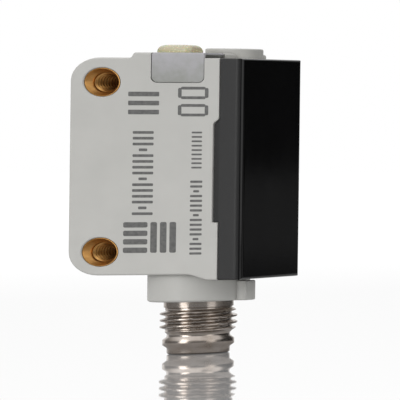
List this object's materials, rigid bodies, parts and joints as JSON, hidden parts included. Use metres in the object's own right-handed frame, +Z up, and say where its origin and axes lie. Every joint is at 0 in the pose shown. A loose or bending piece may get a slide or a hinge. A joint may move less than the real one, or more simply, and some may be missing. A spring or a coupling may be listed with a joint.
{
  "type": "photoelectric proximity sensor",
  "caption": "Miniature block proximity sensor: light grey housing with two brass-bushed mounting holes, glossy black sensing front, indicator light, adjuster and round screw connector.",
  "frame": {"origin": "middle of the bottom of the bounding box, at the open end of the connector", "axes": "+Z up from the connector towards the indicator, -Y out of the black sensing front, +X across the width"},
  "size_m": [0.012, 0.0208, 0.0468],
  "materials": {
    "housing_grey": "satin, fine moulded grain",
    "cover_black": "glossy",
    "brass": "machined, slightly dull",
    "nickel": "turned, bright, warm",
    "frosted_plastic": "frosted, light guide",
    "yellowish_plastic": "clear with a yellow tint",
    "knob_white": "satin",
    "rubber_black": "dull",
    "trimmer_blue": "dull",
    "board_green": "solder mask",
    "film_orange": "polyimide film",
    "inner_black": "dull",
    "clear_plastic": "clear, polished",
    "tinned_steel": "bright",
    "capacitor_ochre": "dull",
    "gold": "gold plated"
  },
  "bodies": {
    "sensor_body": {"housing": "housing_grey", "front_cover": "cover_black", "cover_seal": "rubber_black", "mounting_insert_upper": "brass", "mounting_insert_lower": "brass", "indicator_window": "frosted_plastic", "indicator_dome": "yellowish_plastic", "knob_seal": "rubber_black", "trimmer_body": "trimmer_blue", "main_board": "board_green", "top_board": "board_green", "connector_board": "board_green", "board_link": "film_orange", "optics_carrier": "inner_black", "emitter_lens": "clear_plastic", "receiver_lens": "clear_plastic", "emitter_led": "clear_plastic", "receiver_diode": "inner_black", "receiver_shield": "tinned_steel", "sensor_chip": "inner_black", "output_transistor": "inner_black", "capacitor": "capacitor_ochre", "indicator_led_yellow": "clear_plastic", "indicator_led_green": "clear_plastic", "connector_sleeve": "nickel", "connector_insert": "inner_black", "connector_seal": "rubber_black", "contact_pin_1": "gold", "contact_pin_2": "gold", "contact_pin_3": "gold", "contact_pin_4": "gold"},
    "adjuster": {"sensitivity_knob": "knob_white", "trimmer_rotor": "knob_white"}
  },
  "joints": [
    {"name": "sensitivity_turn", "type": "hinge", "parent": "sensor_body", "child": "adjuster", "pos_m": [0.0025, -0.00395, 0.0459], "axis": [0, 0, 1], "range_deg": [-135, 135]}
  ]
}
